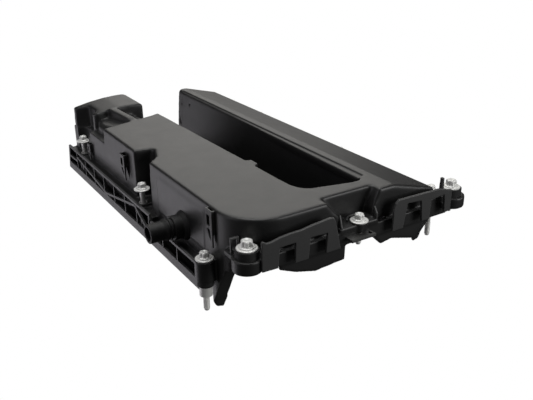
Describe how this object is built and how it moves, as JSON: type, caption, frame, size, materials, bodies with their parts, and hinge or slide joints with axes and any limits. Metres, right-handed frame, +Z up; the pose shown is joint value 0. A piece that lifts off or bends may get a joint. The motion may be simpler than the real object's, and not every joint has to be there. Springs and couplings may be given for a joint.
{
  "type": "camshaft cover",
  "caption": "Moulded plastic camshaft cover with twin banks, an open injector valley, a breather tower, a hose spigot, harness combs and captive bolts.",
  "frame": {"origin": "on the sealing plane, midway between the two rows of side bolts", "axes": "+X to the right as seen from the timing end, +Y from the timing end to the rear, +Z up out of the head"},
  "size_m": [0.3149, 0.4596, 0.1132],
  "materials": {
    "satin_nylon": "satin, fine moulded grain",
    "dark_nylon": "matt, glass-filled",
    "black_nylon": "matt, darker",
    "rubber": "matt",
    "zinc_bolt": "bright zinc plate",
    "zinc_washer": "bright zinc plate",
    "steel_sleeve": "plated",
    "steel_wire": "drawn wire",
    "clip_metal": "phosphated"
  },
  "bodies": {
    "cover": {"left_bank_top": "satin_nylon", "left_bank_walls": "satin_nylon", "right_bank": "satin_nylon", "front_bridge": "satin_nylon", "base_flange": "satin_nylon", "valley_floor": "satin_nylon", "injector_wells": "satin_nylon", "left_trough": "satin_nylon", "side_rail": "dark_nylon", "right_shelf": "satin_nylon", "rear_wall": "satin_nylon", "front_flange": "satin_nylon", "breather_tower": "satin_nylon", "oil_drum": "satin_nylon", "drum_fin": "satin_nylon", "ledge_block": "satin_nylon", "hose_spigot": "black_nylon", "comb_left": "dark_nylon", "comb_right": "dark_nylon", "clip_rail_rear": "dark_nylon", "clip_rail_mid": "satin_nylon", "clip_rail_front": "dark_nylon", "wire_hoop": "dark_nylon", "cable_blade": "dark_nylon", "center_fins": "dark_nylon", "clip_plate": "clip_metal", "gasket": "rubber", "well_seals": "rubber", "baffle_left": "dark_nylon", "baffle_right": "dark_nylon", "baffle_screws": "steel_wire", "labyrinth": "dark_nylon", "regulator_spring": "steel_wire", "regulator_seat": "dark_nylon", "grommets": "rubber", "isolators": "rubber", "sleeves": "steel_sleeve"},
    "diaphragm": {"diaphragm": "rubber"},
    "washer_l1": {"washer_l1": "zinc_washer"},
    "bolt_l1": {"bolt_l1": "zinc_bolt"},
    "washer_l2": {"washer_l2": "zinc_washer"},
    "bolt_l2": {"bolt_l2": "zinc_bolt"},
    "washer_l3": {"washer_l3": "zinc_washer"},
    "bolt_l3": {"bolt_l3": "zinc_bolt"},
    "washer_f1": {"washer_f1": "zinc_washer"},
    "bolt_f1": {"bolt_f1": "zinc_bolt"},
    "washer_f2": {"washer_f2": "zinc_washer"},
    "bolt_f2": {"bolt_f2": "zinc_bolt"},
    "washer_f3": {"washer_f3": "zinc_washer"},
    "bolt_f3": {"bolt_f3": "zinc_bolt"},
    "washer_r1": {"washer_r1": "zinc_washer"},
    "bolt_r1": {"bolt_r1": "zinc_bolt"},
    "washer_r2": {"washer_r2": "zinc_washer"},
    "bolt_r2": {"bolt_r2": "zinc_bolt"},
    "washer_r3": {"washer_r3": "zinc_washer"},
    "bolt_r3": {"bolt_r3": "zinc_bolt"}
  },
  "joints": [
    {"name": "lift_l1", "type": "slide", "parent": "cover", "child": "washer_l1", "axis": [0, 0, 1], "range_m": [-0.0145, 0]},
    {"name": "turn_l1", "type": "hinge", "parent": "washer_l1", "child": "bolt_l1", "pos_m": [-0.1329, 0.1695, 0.051], "axis": [0, 0, 1], "continuous": true},
    {"name": "lift_l2", "type": "slide", "parent": "cover", "child": "washer_l2", "axis": [0, 0, 1], "range_m": [-0.0145, 0]},
    {"name": "turn_l2", "type": "hinge", "parent": "washer_l2", "child": "bolt_l2", "pos_m": [-0.1329, -0.022, 0.051], "axis": [0, 0, 1], "continuous": true},
    {"name": "lift_l3", "type": "slide", "parent": "cover", "child": "washer_l3", "axis": [0, 0, 1], "range_m": [0, 0.008]},
    {"name": "turn_l3", "type": "hinge", "parent": "washer_l3", "child": "bolt_l3", "pos_m": [-0.139, -0.175, 0.039], "axis": [0, 0, 1], "continuous": true},
    {"name": "lift_f1", "type": "slide", "parent": "cover", "child": "washer_f1", "axis": [0, 0, 1], "range_m": [0, 0.012]},
    {"name": "turn_f1", "type": "hinge", "parent": "washer_f1", "child": "bolt_f1", "pos_m": [-0.1227, -0.222, 0.0652], "axis": [0, 0, 1], "continuous": true},
    {"name": "lift_f2", "type": "slide", "parent": "cover", "child": "washer_f2", "axis": [0, 0, 1], "range_m": [0, 0.01]},
    {"name": "turn_f2", "type": "hinge", "parent": "washer_f2", "child": "bolt_f2", "pos_m": [-0.006, -0.226, 0.0615], "axis": [0, 0, 1], "continuous": true},
    {"name": "lift_f3", "type": "slide", "parent": "cover", "child": "washer_f3", "axis": [0, 0, 1], "range_m": [0, 0.012]},
    {"name": "turn_f3", "type": "hinge", "parent": "washer_f3", "child": "bolt_f3", "pos_m": [0.1161, -0.2215, 0.0652], "axis": [0, 0, 1], "continuous": true},
    {"name": "lift_r1", "type": "slide", "parent": "cover", "child": "washer_r1", "axis": [0, 0, 1], "range_m": [0, 0.014]},
    {"name": "turn_r1", "type": "hinge", "parent": "washer_r1", "child": "bolt_r1", "pos_m": [0.1384, -0.175, 0.039], "axis": [0, 0, 1], "continuous": true},
    {"name": "lift_r2", "type": "slide", "parent": "cover", "child": "washer_r2", "axis": [0, 0, 1], "range_m": [0, 0.014]},
    {"name": "turn_r2", "type": "hinge", "parent": "washer_r2", "child": "bolt_r2", "pos_m": [0.1329, -0.022, 0.039], "axis": [0, 0, 1], "continuous": true},
    {"name": "lift_r3", "type": "slide", "parent": "cover", "child": "washer_r3", "axis": [0, 0, 1], "range_m": [0, 0.014]},
    {"name": "turn_r3", "type": "hinge", "parent": "washer_r3", "child": "bolt_r3", "pos_m": [0.1329, 0.1695, 0.039], "axis": [0, 0, 1], "continuous": true},
    {"name": "diaphragm_travel", "type": "slide", "parent": "cover", "child": "diaphragm", "axis": [0, 0, 1], "range_m": [-0.0025, 0.0025], "stiffness_N_per_m": 60, "deforming": ["regulator_spring"]}
  ]
}
